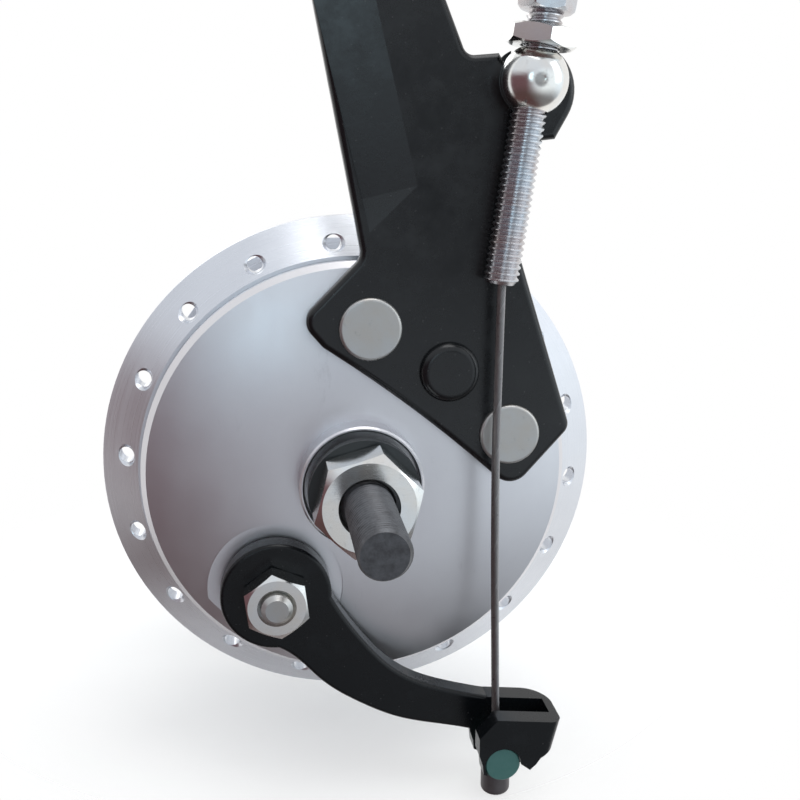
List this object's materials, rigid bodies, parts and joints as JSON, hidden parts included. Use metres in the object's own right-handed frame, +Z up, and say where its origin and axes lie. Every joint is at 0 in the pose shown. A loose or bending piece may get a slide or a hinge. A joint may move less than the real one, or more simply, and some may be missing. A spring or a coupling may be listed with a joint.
{
  "type": "drum brake front hub",
  "caption": "Front wheel hub with a drum brake inside: domed brake plate, reaction arm, cam lever, cable adjuster, two spoke flanges and a threaded axle.",
  "frame": {"origin": "centre of the circle of spoke holes on the brake side, on the axle's axis, level with the outer face of the conical flange at that circle", "axes": "+Y along the axle away from the brake plate, +Z up along the reaction arm's side, +X to the right seen from the brake plate"},
  "size_m": [0.0988, 0.1438, 0.2207],
  "materials": {
    "plate_alloy": "satin cast and bead-blasted alloy",
    "hub_alloy": "satin turned alloy",
    "black_pressing": "smooth black satin coating",
    "black_forging": "black coating, a little glossier than the arm",
    "black_washer": "black oxide",
    "bright_zinc": "bright zinc plate",
    "dull_zinc": "dull zinc plate",
    "threaded_steel": "plated rolled thread",
    "axle_steel": "dark phosphated steel",
    "cable_end_casting": "green passivated casting",
    "bearing_steel": "ground bearing steel",
    "liner_iron": "turned grey iron",
    "shoe_alloy": "as-cast alloy",
    "friction_lining": "moulded friction lining",
    "bush_bronze": "sintered bronze",
    "spring_steel": "oiled spring steel",
    "wire_steel": "stranded galvanised wire"
  },
  "bodies": {
    "frame_side": {"axle": "axle_steel", "brake_plate": "plate_alloy", "reaction_arm": "black_pressing", "arm_rivets": "dull_zinc", "anchor_pin": "bearing_steel", "cam_bush": "bush_bronze", "plate_spacer": "black_washer", "plate_washer": "black_washer", "brake_side_locknut": "bright_zinc", "axle_sleeve": "axle_steel", "brake_side_cone": "bearing_steel", "far_side_cone": "bearing_steel", "far_side_washer": "dull_zinc", "far_side_locknut": "bright_zinc"},
    "hub": {"hub_shell": "hub_alloy", "drum_liner": "liner_iron", "brake_side_cup": "bearing_steel", "far_side_cup": "bearing_steel", "brake_side_dust_cap": "dull_zinc", "far_side_dust_cap": "dull_zinc"},
    "brake_side_balls": {"brake_side_ball_ring": "bearing_steel", "brake_side_retainer": "bush_bronze"},
    "far_side_balls": {"far_side_ball_ring": "bearing_steel", "far_side_retainer": "bush_bronze"},
    "lever": {"brake_lever": "black_forging", "cam_spindle": "dull_zinc", "cam_washer": "black_washer", "cam_nut": "bright_zinc"},
    "leading_shoe": {"leading_shoe": "shoe_alloy", "leading_lining": "friction_lining", "anchor_end_spring": "spring_steel", "cam_end_spring": "spring_steel"},
    "trailing_shoe": {"trailing_shoe": "shoe_alloy", "trailing_lining": "friction_lining"},
    "adjuster_swivel": {"adjuster_trunnion": "bright_zinc", "trunnion_clip": "black_washer"},
    "adjuster_barrel": {"adjuster_barrel": "threaded_steel"},
    "adjuster_nut": {"adjuster_locknut": "bright_zinc"},
    "cable_fitting": {"cable_end": "cable_end_casting", "inner_wire": "wire_steel"}
  },
  "joints": [
    {"name": "hub_spin", "type": "hinge", "parent": "frame_side", "child": "hub", "pos_m": [0, 0, 0], "axis": [0, 1, 0], "continuous": true},
    {"name": "brake_side_balls_roll", "type": "hinge", "parent": "frame_side", "child": "brake_side_balls", "pos_m": [0, 0.0269, 0], "axis": [0, 1, 0], "continuous": true},
    {"name": "far_side_balls_roll", "type": "hinge", "parent": "frame_side", "child": "far_side_balls", "pos_m": [0, 0.0565, 0], "axis": [0, 1, 0], "continuous": true},
    {"name": "lever_pull", "type": "hinge", "parent": "frame_side", "child": "lever", "pos_m": [-0.01662, -0.011, -0.02128], "axis": [0, -1, 0], "range_deg": [0, 13], "deforming": ["inner_wire"]},
    {"name": "leading_shoe_open", "type": "hinge", "parent": "frame_side", "child": "leading_shoe", "pos_m": [0.01662, 0.01, 0.02128], "axis": [0, 1, 0], "range_deg": [0, 0.7], "deforming": ["anchor_end_spring", "cam_end_spring"]},
    {"name": "trailing_shoe_open", "type": "hinge", "parent": "frame_side", "child": "trailing_shoe", "pos_m": [0.01662, 0.01, 0.02128], "axis": [0, -1, 0], "range_deg": [0, 0.7], "deforming": ["anchor_end_spring", "cam_end_spring"]},
    {"name": "cable_end_swivel", "type": "hinge", "parent": "lever", "child": "cable_fitting", "pos_m": [0.0262, -0.016, -0.0554], "axis": [0, -1, 0], "range_deg": [-11, 0], "deforming": ["inner_wire"]},
    {"name": "adjuster_swivel", "type": "hinge", "parent": "frame_side", "child": "adjuster_swivel", "pos_m": [0.0301, -0.016, 0.073], "axis": [0, -1, 0], "range_deg": [0, 3], "deforming": ["inner_wire"]},
    {"name": "barrel_screw_travel", "type": "slide", "parent": "adjuster_swivel", "child": "adjuster_barrel", "axis": [0.1466, 0, 0.9892], "range_m": [-0.0015, 0.018]},
    {"name": "locknut_screw_travel", "type": "slide", "parent": "adjuster_swivel", "child": "adjuster_nut", "axis": [0.1466, 0, 0.9892], "range_m": [0, 0.0008]}
  ],
  "couplings": [
    {"joint": "brake_side_balls_roll", "follows": "hub_spin", "ratio": 0.585},
    {"joint": "far_side_balls_roll", "follows": "hub_spin", "ratio": 0.585},
    {"joint": "leading_shoe_open", "follows": "lever_pull", "ratio": 0.052},
    {"joint": "trailing_shoe_open", "follows": "lever_pull", "ratio": 0.052},
    {"joint": "cable_end_swivel", "follows": "lever_pull", "ratio": -0.81},
    {"joint": "adjuster_swivel", "follows": "lever_pull", "ratio": 0.19}
  ]
}
